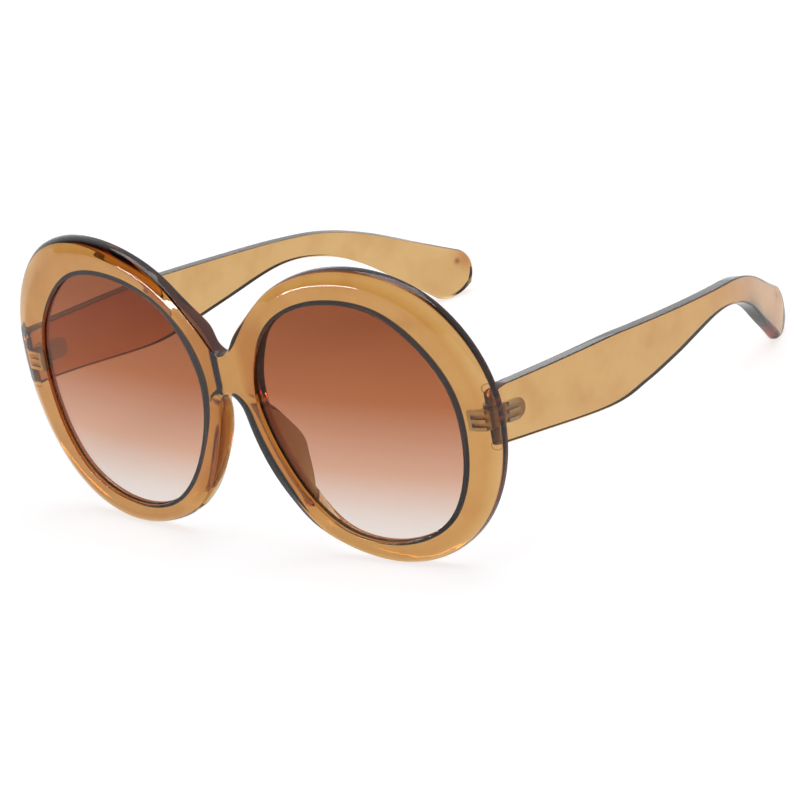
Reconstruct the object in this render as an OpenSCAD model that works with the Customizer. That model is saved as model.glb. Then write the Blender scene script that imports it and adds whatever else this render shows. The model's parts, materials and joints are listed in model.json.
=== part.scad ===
// Oversized round sunglasses, opened, standing on both rims and both temple tips.
// X runs across the front, with the wearer's left at +X. Y runs from the face of the
// front back along the temples. Z is up, with zero on the table.
// The origin is under the middle of the glasses.

/* [Front] */
// Width of one lens opening
lens_w = 55.6; // [52:0.2:58]
// Height of one lens opening
lens_h = 59.4; // [55:0.2:62]
// Least distance between the two lens openings
bridge_w = 17.2; // [15:0.2:21]
// Rim between a lens opening and the side of the front
rim_side = 9.8; // [9.4:0.1:12]
// Rim below a lens opening
rim_bottom = 5.4; // [4.6:0.1:8]
// Rim above a lens opening
rim_top = 8.4; // [6:0.1:11]
// Thickness of the front
front_t = 3.8; // [3:0.1:5]
// Radius of the curve of the front, seen from above
face_r = 380; // [300:5:600]

/* [Lenses] */
// Thickness of a lens
lens_t = 1.8; // [1.2:0.1:2]
// How far a lens reaches into its groove
groove_depth = 0.6; // [0.4:0.05:0.8]
// Gap between a lens and the walls of its groove
groove_gap = 0.04; // [0.02:0.01:0.08]

/* [Nose pads] */
// How far a pad stands behind the front
pad_reach = 7; // [4:0.2:8]
// Width of a pad where it is glued on
pad_w = 3.8; // [2.8:0.1:4.4]
// Thickness of a pad along its back edge
pad_edge = 1.8; // [1.2:0.1:2.4]
// Thickness of the line of glue
glue_line = 0.05; // [0.02:0.01:0.1]

/* [Temples] */
// Length of a temple from the hinge axis back to its tip, seen from the side
temple_run = 134; // [125:1:145]
// Thickness of a temple
temple_t = 3.4; // [3:0.1:4]
// Height of a temple at its joint
butt_h = 13.8; // [13:0.2:16]
// Height of a temple at its widest part
belly_h = 16.4; // [14:0.2:20]
// Height of a temple where it bends down
waist_h = 6.1; // [5:0.1:8]
// Height of a temple at its tip
tip_h = 13.2; // [11:0.2:15]
// Radius of the bow of a temple, seen from above
bow_r = 415; // [350:5:600]
// Radius of the inward curl of a temple, seen from above
curl_r = 84; // [75:1:110]
// Gap between a temple and the back of the front
butt_gap = 0.2; // [0.15:0.05:0.4]

/* [Hinges] */
// Height of the middle of a hinge above the table
hinge_z = 37.4; // [35:0.2:39]
// Distance from the side of the front in to the hinge axis
hinge_inset = 5; // [4.8:0.1:5.4]
// Radius of a hinge barrel
barrel_r = 1.4; // [1.3:0.05:1.5]
// Height of the three barrels together
barrel_stack = 4.8; // [4.4:0.1:5.6]
// Radius of the hinge screw
screw_r = 0.7; // [0.6:0.02:0.75]
// Running gap round the screw
screw_gap = 0.04; // [0.02:0.01:0.06]
// Gap between two barrels
barrel_gap = 0.08; // [0.05:0.01:0.12]
// Thickness of a hinge plate
plate_t = 1.2; // [1:0.05:1.4]

/* [Hidden] */
$fn = 96;

// Colours
amber = [0.79, 0.6, 0.33, 0.8];
tint = [0.62, 0.36, 0.22, 0.7];
nickel = [0.62, 0.58, 0.5];

// Overall sizes of the front
front_w = bridge_w + 2 * lens_w + 2 * rim_side;
half_w = front_w / 2;
front_h = rim_bottom + lens_h + rim_top;
back_r = face_r - front_t;

// Right half of the outline of the front, from the top of the bridge round the rim to
// the arch under the bridge, as shares of the half width and of the height
outline_shares = [
  [0, 0.672], [0.026, 0.684], [0.061, 0.731], [0.126, 0.806], [0.219, 0.896], [0.351, 0.967],
  [0.514, 1], [0.674, 0.984], [0.811, 0.92], [0.918, 0.804], [0.983, 0.656],
  [1, 0.52], [0.976, 0.349], [0.881, 0.159], [0.743, 0.045], [0.574, 0],
  [0.399, 0.025], [0.243, 0.104], [0.142, 0.233], [0.083, 0.361], [0.057, 0.45],
  [0.037, 0.507], [0, 0.532]
];
// Outline of a lens opening, as shares of its width from the nose and of its height
opening_shares = [
  [0, 0.6], [0.035, 0.735], [0.12, 0.865], [0.275, 0.96], [0.49, 1], [0.7, 0.964],
  [0.865, 0.84], [0.975, 0.667], [1, 0.482], [0.963, 0.28], [0.863, 0.118],
  [0.7, 0.026], [0.52, 0], [0.34, 0.037], [0.186, 0.151], [0.077, 0.313],
  [0.016, 0.465]
];
// Straight lines drawn between two points of an outline
outline_steps = 5;
// Cuts reach this far past what they cut
over = 1;

// Screw and barrels
bore_r = screw_r + screw_gap;
press_gap = 0.02;
head_r = barrel_r - 0.1;
head_h = 0.8;
slot_w = 0.35;
slot_depth = 0.4;
barrel_h = (barrel_stack - 2 * barrel_gap) / 3;
neck_w = 1.9;

// Place of the hinge axis, seen from above
axis_x = half_w - hinge_inset;
axis_r = back_r - butt_gap - barrel_r;
front_turn = asin(axis_x / axis_r);
axis_y = face_r - axis_r * cos(front_turn);

// Front hinge plate and its prongs
front_plate_in = 3.5;
front_plate_out = 1.7;
prong_depth = 1;
prong_w = 0.9;
pocket_gap = 0.04;

// Temple hinge plate
temple_plate_len = 6.8;
plate_clear = 0.4;
temple_plate_start = barrel_r + plate_clear;
leaf_t = 1;
hinge_room = 0.3;

// Path of the outer face of a temple, seen from above
leaf_inset = 0.4;
temple_out = axis_x + leaf_inset + temple_t;
bow_start = -4;
bow_end_share = 0.61;
curl_end_share = 0.8;
bow_end = bow_start + 180 / PI * (temple_run * bow_end_share) / bow_r;
curl_end = bow_end + 180 / PI * temple_run * (curl_end_share - bow_end_share) / curl_r;
path_steps = 16;

// Middle line of a temple seen from the side: the share of the way from the hinge axis
// to the middle of the round tip, the share of the way from the height of that middle up
// to the height of the hinge, and how many of the named heights it has come past
side_shares = [
  [-0.052, 1.07, 0], [0, 1.01, 0], [0.1, 0.943, 0.32], [0.3, 0.814, 1], [0.402, 0.779, 1.2],
  [0.503, 0.758, 1.5], [0.658, 0.729, 1.98], [0.763, 0.639, 2], [0.848, 0.469, 2.2],
  [0.933, 0.21, 2.62], [1, 0, 3]
];
side_heights = [butt_h, belly_h, waist_h, tip_h];
tip_steps = 14;
tip_middle_run = temple_run - tip_h / 2 * cos(curl_end);

// A point on a smooth curve through b and c, a share t of the way between them
function curve_point(a, b, c, d, t) =
  b + (c - a) * t / 2 + (2 * a - 5 * b + 4 * c - d) * t * t / 2
  + (3 * b - a - 3 * c + d) * t * t * t / 2;

// Smooth closed curve through a list of points
function closed_curve(p, n) = [
  for (i = [0 : len(p) - 1], k = [0 : n - 1])
    curve_point(p[(i + len(p) - 1) % len(p)], p[i], p[(i + 1) % len(p)],
                p[(i + 2) % len(p)], k / n)
];

// Smooth open curve through a list of points
function open_curve(p, n) = concat([
  for (i = [0 : len(p) - 2], k = [0 : n - 1])
    curve_point(p[max(i - 1, 0)], p[i], p[i + 1], p[min(i + 2, len(p) - 1)], k / n)
], [p[len(p) - 1]]);

// Unit vector square to the way from a to b, on its left
function left_of(a, b) = [a[1] - b[1], b[0] - a[0]] / norm(b - a);

// Closed outline moved out by d, for points that run clockwise
function grown(p, d) = [
  for (i = [0 : len(p) - 1])
    p[i] + d * left_of(p[(i + len(p) - 1) % len(p)], p[(i + 1) % len(p)])
];

half_outline = [for (s = outline_shares) [s[0] * half_w, s[1] * front_h]];
full_outline = concat(half_outline,
  [for (i = [len(half_outline) - 2 : -1 : 1]) [-half_outline[i][0], half_outline[i][1]]]);
front_raw = closed_curve(full_outline, outline_steps);
front_low = min([for (p = front_raw) p[1]]);
front_curve = [for (p = front_raw) [p[0], p[1] - front_low]];

opening_curve = closed_curve([
  for (s = opening_shares) [bridge_w / 2 + s[0] * lens_w, rim_bottom + s[1] * lens_h]
], outline_steps);

// Height of a temple a number of parts of the way down side_heights
function side_height(k) =
  let (i = min(floor(k), len(side_heights) - 2))
  side_heights[i] + (k - i) * (side_heights[i + 1] - side_heights[i]);

side_middle = open_curve([
  for (s = side_shares)
    [axis_y + s[0] * tip_middle_run, tip_h / 2 + s[1] * (hinge_z - tip_h / 2), side_height(s[2])]
], outline_steps);
side_last = len(side_middle) - 1;

// Left-hand direction of the middle line at point i
function side_left(i) =
  let (a = side_middle[max(i - 1, 0)], b = side_middle[min(i + 1, side_last)])
  left_of([a[0], a[1]], [b[0], b[1]]);

// Point of the side outline beside point i, on the top side for 1 and the bottom for -1
function side_edge(i, way) =
  [side_middle[i][0], side_middle[i][1]] + way * side_middle[i][2] / 2 * side_left(i);

// Round end of a temple, from its top edge to its bottom edge
function tip_arc() =
  let (l = side_left(side_last), ahead = [l[1], -l[0]], c = side_middle[side_last])
  [for (k = [1 : tip_steps - 1])
    [c[0], c[1]] + c[2] / 2 * (l * cos(180 * k / tip_steps)
                               + ahead * sin(180 * k / tip_steps) * cos(curl_end))];

side_raw = concat(
  [for (i = [0 : side_last]) side_edge(i, 1)], tip_arc(),
  [for (i = [side_last : -1 : 0]) side_edge(i, -1)]);
side_low = min([for (p = side_raw) p[1]]);

// Side outline of a temple, stretched down from the height of the hinge to the table
side_curve = [
  for (p = side_raw) [p[0], hinge_z - (hinge_z - p[1]) * hinge_z / (hinge_z - side_low)]
];

// The glasses reach from the face of the bridge to the temple tips
mid_y = max([for (p = side_curve) p[0]]) / 2;

// Centres of the two arcs of a temple, seen from above
bow_centre = [temple_out, axis_y] - bow_r * [cos(bow_start), sin(bow_start)];
curl_start_point = bow_centre + bow_r * [cos(bow_end), sin(bow_end)];
curl_centre = curl_start_point - curl_r * [cos(bow_end), sin(bow_end)];

// Point of a temple's plan at heading h, a depth d inside its outer face
function bow_point(h, d) = bow_centre + (bow_r - d) * [cos(h), sin(h)];
function curl_point(h, d) = curl_centre + (curl_r - d) * [cos(h), sin(h)];
function plan_edge(d) = concat(
  [bow_point(bow_start, d) - temple_run * 0.1 * [-sin(bow_start), cos(bow_start)]],
  [for (k = [0 : path_steps]) bow_point(bow_start + (bow_end - bow_start) * k / path_steps, d)],
  [for (k = [1 : path_steps]) curl_point(bow_end + (curl_end - bow_end) * k / path_steps, d)],
  [curl_point(curl_end, d) + temple_run * 0.4 * [-sin(curl_end), cos(curl_end)]]);
plan_out = plan_edge(0);
plan_in = plan_edge(temple_t);

// Heading of a temple at the middle of its hinge plate
plate_turn = bow_start + 180 / PI * (temple_plate_start + temple_plate_len / 2) / bow_r;
plate_drop = atan((side_shares[3][1] - side_shares[1][1]) * (hinge_z - tip_h / 2)
                  / ((side_shares[3][0] - side_shares[1][0]) * tip_middle_run));

// Puts a part of the left side in its place, or its mirror image on the right
module on_side(side) {
  translate([0, -mid_y, 0])
    mirror([side == "left" ? 0 : 1, 0, 0])
      children();
}

// Everything inside a round wall of radius r about the axis of the front's curve
module inside_curve(r, h) {
  translate([0, face_r, -over])
    cylinder(r = r, h = h + 2 * over, $fn = 360);
}

// Curved sheet that follows the front, from depth d to depth d + t behind its face
module curved_sheet(d, t) {
  difference() {
    inside_curve(face_r - d, front_h);
    translate([0, 0, -over])
      inside_curve(face_r - d - t, front_h + 2 * over);
  }
}

// Prism of an outline drawn in X and Z, through the whole depth of the front
module through_front(points) {
  rotate([90, 0, 0])
    translate([0, 0, -half_w])
      linear_extrude(height = half_w + over)
        polygon(points);
}

module lens_shape(grow, d, t) {
  intersection() {
    curved_sheet(d, t);
    through_front(grown(opening_curve, grow));
  }
}

// Local space of a front hinge: X outwards along the back of the front, Y backwards
// from that back, and the origin level with the hinge
module at_front_hinge() {
  translate([0, face_r, hinge_z])
    rotate([0, 0, front_turn])
      translate([0, -back_r, 0])
        children();
}

// Plate and prongs of a front hinge, let into the front. A pocket for it has a gap, and
// is open on the back.
module front_plate(gap, open) {
  height = barrel_stack + 2 * gap;
  width = front_plate_in + front_plate_out + 2 * gap;
  translate([-front_plate_in - gap, -plate_t - gap, -height / 2])
    cube([width, plate_t + gap + open, height]);
  for (k = [-1 : 1])
    translate([-front_plate_in - gap, -plate_t - prong_depth - gap,
               k * (barrel_stack - prong_w) / 2 - prong_w / 2 - gap])
      cube([width - prong_w, prong_depth + 2 * gap, prong_w + 2 * gap]);
  translate([-front_plate_in - gap, -plate_t - prong_depth - gap, -height / 2])
    cube([prong_w + 2 * gap, prong_depth + 2 * gap, height]);
}

module front_frame() {
  color(amber)
    translate([0, -mid_y, 0])
      difference() {
        intersection() {
          curved_sheet(0, front_t);
          through_front(front_curve);
        }
        for (side = [0, 1])
          mirror([side, 0, 0]) {
            through_front(opening_curve);
            lens_shape(groove_depth + groove_gap, (front_t - lens_t) / 2 - groove_gap,
                       lens_t + 2 * groove_gap);
            at_front_hinge()
              front_plate(pocket_gap, over);
          }
      }
}

module lens(side) {
  color(tint)
    on_side(side)
      lens_shape(groove_depth, (front_t - lens_t) / 2, lens_t);
}

// Nose pad
pad_top_share = 0.5;
pad_bottom_share = 0.16;
pad_sides = 12;
// Back edge of a pad: share of its length from the top, how far it is from the nose as
// a share of the lens width, and how far it stands out as a share of its reach
pad_edge_shares = [
  [0, -0.02, 0.1], [0.08, -0.01, 0.43], [0.2, 0.007, 0.71], [0.42, 0.053, 1],
  [0.6, 0.081, 0.87], [0.76, 0.107, 0.68], [0.9, 0.133, 0.42], [1, 0.157, 0.15]
];
// Seat of a pad: share of its length from the top, how far its middle is from the nose
// as a share of the lens width, and its share of the pad's width
pad_seat_shares = [
  [0, -0.074, 0.3], [0.08, -0.067, 0.5], [0.2, -0.043, 0.85], [0.42, -0.008, 1],
  [0.6, 0.025, 1], [0.76, 0.06, 0.95], [0.9, 0.094, 0.75], [1, 0.117, 0.4]
];
pad_edge_line = open_curve(pad_edge_shares, 2);
pad_seat_line = open_curve(pad_seat_shares, 2);

// Ring k of a pad: an oval whose long axis runs from the seat to the back edge
function pad_ring(k) =
  let (e = pad_edge_line[k], s = pad_seat_line[k],
       z = front_h * (pad_top_share + (pad_bottom_share - pad_top_share) * e[0]),
       root = [bridge_w / 2 + s[1] * lens_w, front_t - pad_edge],
       tip = [bridge_w / 2 + e[1] * lens_w, front_t + e[2] * pad_reach],
       way = (tip - root) / norm(tip - root), side = [way[1], -way[0]],
       long = norm(tip - root))
  [for (j = [0 : pad_sides - 1])
    let (a = 360 * j / pad_sides, u = (1 + cos(a)) / 2,
         w = s[2] * pad_w / 2 * (1 - u) + min(pad_edge, s[2] * pad_w) / 2 * u)
    let (q = root + way * long * u + side * w * sin(a))
    [q[0], q[1], z]];
pad_rings = [for (k = [0 : len(pad_edge_line) - 1]) pad_ring(k)];
pad_last = len(pad_rings) - 1;

module nose_pad(side) {
  points = [for (r = pad_rings, q = r) q];
  walls = [for (k = [0 : pad_last - 1], j = [0 : pad_sides - 1])
    let (a = k * pad_sides + j, b = k * pad_sides + (j + 1) % pad_sides)
    each [[a, b + pad_sides, b], [a, a + pad_sides, b + pad_sides]]];
  top = [[for (j = [0 : pad_sides - 1]) j]];
  bottom = [[for (j = [pad_sides - 1 : -1 : 0]) pad_last * pad_sides + j]];
  color(amber)
    on_side(side)
      intersection() {
        polyhedron(points = points, faces = concat(walls, top, bottom));
        inside_curve(back_r - glue_line, front_h);
      }
}

// A barrel with its bore, centred on level k of the three
module barrel(k) {
  translate([0, 0, k * (barrel_h + barrel_gap) - barrel_h / 2])
    cylinder(r = barrel_r, h = barrel_h);
}

module screw_bore(r) {
  translate([0, 0, -barrel_stack / 2 - over])
    cylinder(r = r, h = barrel_stack + 2 * over);
}

module front_hinge(side) {
  color(nickel)
    on_side(side)
      at_front_hinge() {
        front_plate(0, 0);
        difference() {
          for (k = [-1, 1]) {
            translate([0, butt_gap + barrel_r, 0])
              barrel(k);
            translate([-neck_w / 2, -plate_t / 2, k * (barrel_h + barrel_gap) - barrel_h / 2])
              cube([neck_w, plate_t / 2 + butt_gap + barrel_r, barrel_h]);
          }
          translate([0, butt_gap + barrel_r, 0])
            screw_bore(screw_r + press_gap);
        }
      }
}

// Local space of a temple hinge plate: X out through the temple from its inner face,
// Y along the temple, and the origin at the middle of the plate
module at_temple_plate() {
  translate([bow_point(plate_turn, temple_t)[0], bow_point(plate_turn, temple_t)[1],
             hinge_z + (temple_plate_start + temple_plate_len / 2) * tan(plate_drop)])
    rotate([plate_drop, 0, plate_turn])
      children();
}

// Plate and prongs of a temple hinge, with a round back end. A pocket for it has a gap,
// and is open on the inner face.
module temple_plate(gap, open) {
  height = barrel_stack + 2 * gap;
  flat_len = temple_plate_len - barrel_stack / 2;
  translate([-open, -temple_plate_len / 2 - gap, -height / 2])
    cube([plate_t + gap + open, flat_len + gap, height]);
  translate([-open, flat_len - temple_plate_len / 2, 0])
    rotate([0, 90, 0])
      cylinder(r = height / 2, h = plate_t + gap + open);
  for (k = [-1 : 1])
    translate([plate_t / 2, -temple_plate_len / 2 + prong_w - gap,
               k * (barrel_stack - prong_w) / 2 - prong_w / 2 - gap])
      cube([plate_t / 2 + prong_depth + gap, flat_len - prong_w + 2 * gap, prong_w + 2 * gap]);
}

// Local space of a hinge axis, turned as the front end of a temple is
module at_axis() {
  translate([axis_x, axis_y, hinge_z])
    rotate([0, 0, bow_start])
      children();
}

module temple_hinge(side) {
  color(nickel)
    on_side(side) {
      at_temple_plate()
        temple_plate(0, 0);
      at_axis()
        difference() {
          union() {
            barrel(0);
            translate([leaf_inset, 0, -barrel_h / 2])
              cube([leaf_t, temple_plate_start + leaf_t, barrel_h]);
          }
          screw_bore(bore_r);
        }
    }
}

module hinge_screw(side) {
  color(nickel)
    on_side(side)
      at_axis()
        difference() {
          union() {
            translate([0, 0, -barrel_stack / 2])
              cylinder(r = screw_r, h = barrel_stack + head_h / 2);
            translate([0, 0, barrel_stack / 2])
              cylinder(r = head_r, h = head_h);
          }
          translate([-barrel_r, -slot_w / 2, barrel_stack / 2 + head_h - slot_depth])
            cube([2 * barrel_r, slot_w, slot_depth + over]);
        }
}

// Room in the front end of a temple for the barrels, their necks and the screw head
module hinge_space() {
  low = -barrel_stack / 2 - hinge_room;
  height = barrel_stack + head_h + 2 * hinge_room;
  reach = barrel_r + hinge_room;
  translate([0, 0, low])
    cylinder(r = reach, h = height);
  translate([-reach, -reach - over, low])
    cube([reach + neck_w / 2 + hinge_room, reach + over, height]);
  translate([-reach, 0, -barrel_h / 2 - pocket_gap])
    cube([reach + leaf_inset + leaf_t + pocket_gap, temple_plate_start + leaf_t,
          barrel_h + 2 * pocket_gap]);
}

module temple(side) {
  color(amber)
    on_side(side)
      difference() {
        intersection() {
          linear_extrude(height = front_h)
            polygon(concat(plan_out, [for (i = [len(plan_in) - 1 : -1 : 0]) plan_in[i]]));
          rotate([90, 0, 90])
            linear_extrude(height = front_w)
              polygon(side_curve);
          inside_curve(back_r - butt_gap, front_h);
        }
        at_axis()
          hinge_space();
        at_temple_plate()
          temple_plate(pocket_gap, over);
      }
}

front_frame();
lens("left");  // left_lens
lens("right");  // right_lens
nose_pad("left");  // left_nose_pad
nose_pad("right");  // right_nose_pad
front_hinge("left");  // left_front_hinge
front_hinge("right");  // right_front_hinge
temple_hinge("left");  // left_temple_hinge
temple_hinge("right");  // right_temple_hinge
hinge_screw("left");  // left_hinge_screw
hinge_screw("right");  // right_hinge_screw
temple("left");  // left_temple
temple("right");  // right_temple
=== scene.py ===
"""Looks of a pair of oversized round sunglasses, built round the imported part.

Lengths are in millimetres until a piece's mesh is made, which turns them into metres.
X runs across the front with the wearer's left at +X, Y runs back along the temples, and Z is up.
"""
import json
import bmesh
import bpy
import numpy as np
from mathutils import Matrix, Vector


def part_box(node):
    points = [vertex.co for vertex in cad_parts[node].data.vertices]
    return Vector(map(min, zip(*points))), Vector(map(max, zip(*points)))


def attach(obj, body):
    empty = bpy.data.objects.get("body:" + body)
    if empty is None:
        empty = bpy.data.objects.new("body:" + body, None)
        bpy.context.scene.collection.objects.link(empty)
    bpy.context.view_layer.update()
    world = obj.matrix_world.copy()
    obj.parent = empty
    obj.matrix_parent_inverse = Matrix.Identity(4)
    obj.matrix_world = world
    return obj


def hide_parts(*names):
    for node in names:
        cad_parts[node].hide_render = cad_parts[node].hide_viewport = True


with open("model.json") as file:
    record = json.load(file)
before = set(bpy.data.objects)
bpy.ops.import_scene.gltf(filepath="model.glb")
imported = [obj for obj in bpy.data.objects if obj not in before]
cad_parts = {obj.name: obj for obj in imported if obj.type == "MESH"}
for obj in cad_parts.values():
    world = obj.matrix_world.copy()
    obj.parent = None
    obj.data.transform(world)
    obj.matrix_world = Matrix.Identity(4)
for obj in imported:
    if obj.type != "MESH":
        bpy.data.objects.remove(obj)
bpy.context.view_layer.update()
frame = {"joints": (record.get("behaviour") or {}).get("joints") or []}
MM = 0.001


def node_box(name):
    """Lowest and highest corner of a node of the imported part, in millimetres."""
    low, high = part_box(name)
    return np.array(low) / MM, np.array(high) / MM


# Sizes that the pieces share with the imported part
FRONT_LOW, FRONT_HIGH = node_box("front_frame")
HALF_W = FRONT_HIGH[0]
FRONT_H = FRONT_HIGH[2]
FACE_Y = FRONT_LOW[1]
AXIS_X, AXIS_Y, HINGE_Z = (value / MM for value in frame["joints"][0]["pos_m"])
FACE_R = 380.0
FRONT_T = 3.8
BRIDGE_W = 17.2
LENS_W = 55.6
LENS_H = 59.4
RIM_BOTTOM = 5.4
LENS_T = 1.8
GROOVE_GAP = 0.04
LENS_EDGE_GAP = 0.03
LENS_RIDGE = 1.0

# Outlines of the front's left half and of its lens opening, clockwise from the bridge, as shares of half the
# front's width or of the lens's width, and of their heights
OUTLINE_SHARES = [
    (0, 0.672), (0.026, 0.684), (0.061, 0.731), (0.126, 0.806), (0.219, 0.896), (0.351, 0.967), (0.514, 1),
    (0.674, 0.984), (0.811, 0.92), (0.918, 0.804), (0.983, 0.656), (1, 0.52), (0.976, 0.349), (0.881, 0.159),
    (0.743, 0.045), (0.574, 0), (0.399, 0.025), (0.243, 0.104), (0.142, 0.233), (0.083, 0.361), (0.057, 0.45),
    (0.037, 0.507), (0, 0.532),
]
OPENING_SHARES = [
    (0, 0.6), (0.035, 0.735), (0.12, 0.865), (0.275, 0.96), (0.49, 1), (0.7, 0.964), (0.865, 0.84),
    (0.975, 0.667), (1, 0.482), (0.963, 0.28), (0.863, 0.118), (0.7, 0.026), (0.52, 0), (0.34, 0.037),
    (0.186, 0.151), (0.077, 0.313), (0.016, 0.465),
]
NOSE_SIDE_FIRST = 17
NOSE_SIDE = np.array([(x * HALF_W, z * FRONT_H) for x, z in OUTLINE_SHARES[NOSE_SIDE_FIRST:]])

# Points along the front's edges, rows across an edge and a rim, and how the face's rows crowd at its crest
OUTLINE_POINTS = 400
BRIDGE_POINTS = 24
OPENING_POINTS = 600
EDGE_STEPS = 8
BAND_ROWS = 2
FACE_ROWS = 57
BACK_ROWS = 19
CREST_CROWD = 0.35
CREST_ROW_SHARE = 0.72

# Face of the front: where its crest lies across a rim, how far it falls off, where that sets in out from the
# middle, and the chamfer over the arch
CREST_SHARE = 0.4
CREST_SOFT = 0.1
OUTER_DROP_SHARE = 0.14
INNER_DROP = 0.25
RIM_SPAN = (5.0, 15.0)
ARCH_CHAMFER = 1.2
ARCH_CHAMFER_DROP = 0.45
ARCH_CHAMFER_SPAN = (3.0, 10.0)

# Edges of the front: the bands that they take up and the radii that round them
EDGE_BAND = 1.9
LIP_BAND = 0.9
FACE_EDGE_R = 1.5
NOSE_EDGE_R = 0.5
NOSE_EDGE_SPAN = (14.0, 26.0)
BACK_EDGE_R = 0.25
LIP_R = 0.3
LIP_BACK_R = 0.2
FRONT_SHARP = 50

# Swell of the back: its height, and where it starts and ends, out from the nose opening and in height
BRIDGE_SWELL = 1.3
SWELL_START = (2.6, 6.0)
SWELL_FADE = (8.0, 20.0)
SWELL_EDGE_TOP = (33.0, 41.0)
SWELL_FOOT = (6.0, 16.0)
SWELL_HEAD = (50.0, 64.0)

# Walls of the front: how far normals lean towards the face or the back where walls end, the band of painted
# shade at the lens seats, and where walls beside the nose opening let part of the light straight through
WALL_LEAN = (0.35, 0.8)
SLOPE_LEAN = (0.88, 0.98)
BACK_LEAN = -0.3
SEAT_BAND = 1.2
SEAT_PAINTED_SHADE = 0.6
OPEN_PART = 0.75
OPEN_REACH = 6.0
OPEN_HEIGHTS = (7.0, 38.0)

# Steps between two points of a closed curve, points whose distances are worked out at once, and the decimals
# to which merged points agree
SPLINE_STEPS = 64
DISTANCE_BLOCK = 4000
DECIMALS = 4


def smooth_step(value, start, end):
    """0 before start, 1 after end, and 3t^2 - 2t^3 between them."""
    t = np.clip((value - start) / (end - start), 0, 1)
    return t * t * (3 - 2 * t)


def soft_ramp(t, soft):
    """About 0 below zero and t above it, with a round corner of width soft: (t + sqrt(t^2 + soft^2)) / 2."""
    return (t + np.sqrt(t * t + soft * soft)) / 2


def closed_spline(points, count):
    """Closed curve through the points at even steps along its length.

    Each stretch is a cubic, and slope and curvature run on from one to the next. The curvatures come from
    one equation for each point.
    """
    p = np.array(points, float)
    n = len(p)
    ahead = np.roll(p, -1, 0)
    step = np.linalg.norm(ahead - p, axis=1)
    before = np.roll(step, 1)
    system = np.zeros((n, n))
    index = np.arange(n)
    system[index, index] = 2 * (before + step)
    system[index, (index - 1) % n] += before
    system[index, (index + 1) % n] += step
    slopes = (ahead - p) / step[:, None]
    bend = np.linalg.solve(system, 6 * (slopes - np.roll(slopes, 1, 0)))
    t = (np.arange(SPLINE_STEPS) / SPLINE_STEPS)[None, :, None]
    h = step[:, None, None]
    a, b = bend[:, None], np.roll(bend, -1, 0)[:, None]
    curve = (p[:, None] * (1 - t) + ahead[:, None] * t
             + h * h / 6 * ((1 - t) ** 3 - (1 - t)) * a + h * h / 6 * (t ** 3 - t) * b)
    curve = curve.reshape(-1, 2)
    return even_steps(np.vstack([curve, curve[:1]]), count + 1)[:-1]


def even_steps(curve, count):
    """The same curve with count points at even distances along it."""
    length = np.concatenate([[0], np.cumsum(np.linalg.norm(np.diff(curve, axis=0), axis=1))])
    at = np.linspace(0, length[-1], count)
    return np.stack([np.interp(at, length, curve[:, k]) for k in range(curve.shape[1])], -1)


def outward(curve):
    """Unit normals of a closed curve that runs clockwise, pointing out of it."""
    along = np.roll(curve, -1, 0) - np.roll(curve, 1, 0)
    normal = np.stack([-along[:, 1], along[:, 0]], -1)
    return normal / np.linalg.norm(normal, axis=1, keepdims=True)


def distance_to(points, curve):
    """Distance of each point to a closed curve, taken as straight lines between its points."""
    flat = points.reshape(-1, 2)
    start, along = curve, np.roll(curve, -1, 0) - curve
    size = (along ** 2).sum(1)
    result = np.empty(len(flat))
    for rows in np.array_split(np.arange(len(flat)), max(1, len(flat) // DISTANCE_BLOCK)):
        way = flat[rows, None] - start[None]
        t = np.clip((way * along).sum(-1) / size, 0, 1)
        result[rows] = np.linalg.norm(way - t[..., None] * along, axis=-1).min(1)
    return result.reshape(points.shape[:-1])


def front_outline():
    """Closed outline of the front, clockwise from the middle of the notch over the bridge."""
    half = [(x * HALF_W, z * FRONT_H) for x, z in OUTLINE_SHARES]
    curve = closed_spline(half + [(-x, z) for x, z in half[-2:0:-1]], 2 * OUTLINE_POINTS)
    curve[:, 1] -= curve[:, 1].min()
    curve[:, 0] *= HALF_W / curve[:, 0].max()
    curve[:, 1] *= FRONT_H / curve[:, 1].max()
    return curve


def lens_opening(count):
    """Closed outline of the wearer's left lens opening, clockwise."""
    points = [(BRIDGE_W / 2 + x * LENS_W, RIM_BOTTOM + z * LENS_H) for x, z in OPENING_SHARES]
    return closed_spline(points, count)


OUTLINE = front_outline()
OPENING = lens_opening(OPENING_POINTS)
LENS_MIDDLE = (OPENING.min(0) + OPENING.max(0)) / 2
ARCH_Z = OUTLINE_SHARES[-1][1] * FRONT_H


def bent(flat, depth):
    """Points of the front, whose plan is an arc of radius FACE_R. Depth runs from the face to the back."""
    x, z = flat[..., 0], flat[..., 1]
    y = FACE_Y + FACE_R - np.sqrt((FACE_R - depth) ** 2 - x * x)
    return np.stack([x, y, z], -1)


def face_depth(points):
    """Depth of the face: a soft crest runs round each rim, and the face falls off on both sides of it.

    Across a rim, the share of the way from the outline to the lens drives two soft ramps, one out and one
    in. Over the nose arch, a straight chamfer is added.
    """
    x, z = np.abs(points[..., 0]), points[..., 1]
    to_edge = distance_to(points, OUTLINE)
    to_lens = distance_to(np.stack([x, z], -1), OPENING)
    width = to_edge + to_lens
    across = to_edge / width
    outer = soft_ramp(1 - across / CREST_SHARE, CREST_SOFT)
    inner = soft_ramp((across - CREST_SHARE) / (1 - CREST_SHARE), CREST_SOFT)
    rim = smooth_step(x, *RIM_SPAN)
    under = (z < ARCH_Z + ARCH_CHAMFER) * (1 - smooth_step(x, *ARCH_CHAMFER_SPAN))
    chamfer = ARCH_CHAMFER_DROP * np.clip(1 - to_edge / ARCH_CHAMFER, 0, 1) * under
    return OUTER_DROP_SHARE * width * outer * rim + INNER_DROP * inner * rim + chamfer


def from_nose(points):
    """How far points lie out from the nose opening's edge."""
    return np.abs(points[..., 0]) - np.interp(points[..., 1], NOSE_SIDE[:, 1], NOSE_SIDE[:, 0])


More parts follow.
